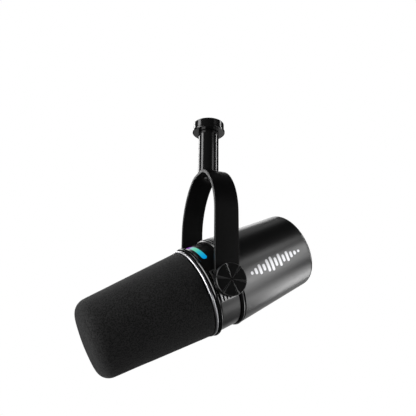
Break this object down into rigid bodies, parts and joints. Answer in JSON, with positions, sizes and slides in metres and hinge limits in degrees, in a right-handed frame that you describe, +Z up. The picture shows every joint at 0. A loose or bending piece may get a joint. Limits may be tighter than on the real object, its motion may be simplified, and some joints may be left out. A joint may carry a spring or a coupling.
{
  "type": "broadcast microphone",
  "caption": "End-address broadcast microphone with a tapered foam windscreen, lit top bar and metal barrel, tilting in a strap yoke that hangs from a round stem and threaded collar.",
  "frame": {"origin": "centre of the stand collar's top face, on the stem's axis", "axes": "+Z up along the stem, away from the microphone; the microphone points towards -Y and is pitched 26 degrees down; +X along the tilt axis"},
  "size_m": [0.086, 0.1673, 0.1875],
  "materials": {
    "foam_black": "open-cell foam, matte black, fine speckle",
    "satin_black": "satin black powder coat",
    "matte_black_strap": "fine matte black coat over steel strap",
    "gloss_black": "gloss black plated and lacquered",
    "polished_trim": "polished dark chrome",
    "plastic_black": "matte black moulded plastic",
    "light_diffuser": "lit translucent diffuser, blue to mint to lavender to magenta",
    "steel_plain": "machined steel",
    "steel_black": "blackened steel",
    "mesh_steel": "dark woven steel mesh",
    "brass": "turned brass",
    "gold_contact": "gold plated contacts",
    "copper_wire": "enamelled copper winding",
    "elastomer": "soft black elastomer",
    "film": "thin polyester film",
    "board_green": "solder-masked circuit board",
    "chip_black": "epoxy package",
    "magnet_nickel": "nickel plated magnet",
    "wire_red": "insulated wire"
  },
  "bodies": {
    "stand": {"stand_collar": "gloss_black", "thread_insert": "steel_plain"},
    "yoke": {"mount_stem": "gloss_black", "yoke_bracket": "matte_black_strap", "yoke_screw": "steel_plain", "yoke_bushing_left": "plastic_black", "yoke_bushing_right": "plastic_black"},
    "microphone": {"inner_washer_left": "plastic_black", "inner_washer_right": "plastic_black", "pivot_stud_left": "steel_plain", "pivot_stud_right": "steel_plain", "grille_basket": "mesh_steel", "pop_filter": "foam_black", "front_trim_ring": "polished_trim", "front_bezel": "gloss_black", "waist_barrel": "satin_black", "light_bar": "light_diffuser", "led_board": "board_green", "side_pad_left": "plastic_black", "side_pad_right": "plastic_black", "rear_ring": "gloss_black", "rear_housing": "satin_black", "rear_plate": "matte_black_strap", "rear_screw_1": "steel_black", "rear_screw_2": "steel_black", "rear_screw_3": "steel_black", "xlr_shell": "steel_black", "xlr_insulator": "plastic_black", "xlr_pin_1": "gold_contact", "xlr_pin_2": "gold_contact", "xlr_pin_3": "gold_contact", "usb_c_port": "steel_plain", "headphone_jack": "plastic_black", "main_board": "board_green", "audio_chip": "chip_black", "capsule_carrier": "plastic_black", "shock_mount_rear": "elastomer", "shock_mount_front": "elastomer", "capsule_housing": "steel_black", "capsule_magnet": "magnet_nickel", "capsule_pole_plate": "steel_plain", "capsule_voice_coil": "copper_wire", "capsule_diaphragm": "film", "capsule_grid": "steel_plain", "capsule_lead": "wire_red"},
    "washer_right": {"outer_washer_right": "steel_black"},
    "knob_right": {"knob_right": "plastic_black", "knob_insert_right": "brass"},
    "washer_left": {"outer_washer_left": "steel_black"},
    "knob_left": {"knob_left": "plastic_black", "knob_insert_left": "brass"},
    "windscreen": {"foam_windscreen": "foam_black"}
  },
  "joints": [
    {"name": "pan_swivel", "type": "hinge", "parent": "stand", "child": "yoke", "pos_m": [0, 0, 0], "axis": [0, 0, 1], "continuous": true},
    {"name": "tilt", "type": "hinge", "parent": "yoke", "child": "microphone", "pos_m": [0, 0, -0.1283], "axis": [1, 0, 0], "range_deg": [-88, 42]},
    {"name": "washer_right_travel", "type": "slide", "parent": "microphone", "child": "washer_right", "axis": [1, 0, 0], "range_m": [0, 0.0015]},
    {"name": "knob_right_turn", "type": "hinge", "parent": "washer_right", "child": "knob_right", "pos_m": [0, 0, -0.1283], "axis": [1, 0, 0], "range_deg": [0, 540]},
    {"name": "washer_left_travel", "type": "slide", "parent": "microphone", "child": "washer_left", "axis": [-1, 0, 0], "range_m": [0, 0.0015]},
    {"name": "knob_left_turn", "type": "hinge", "parent": "washer_left", "child": "knob_left", "pos_m": [0, 0, -0.1283], "axis": [-1, 0, 0], "range_deg": [0, 540]},
    {"name": "windscreen_pull", "type": "slide", "parent": "microphone", "child": "windscreen", "axis": [0, -0.8988, -0.4384], "range_m": [0, 0.08]}
  ],
  "couplings": [
    {"joint": "knob_right_turn", "follows": "washer_right_travel", "rad_per_m": 6283.2},
    {"joint": "knob_left_turn", "follows": "washer_left_travel", "rad_per_m": 6283.2}
  ]
}
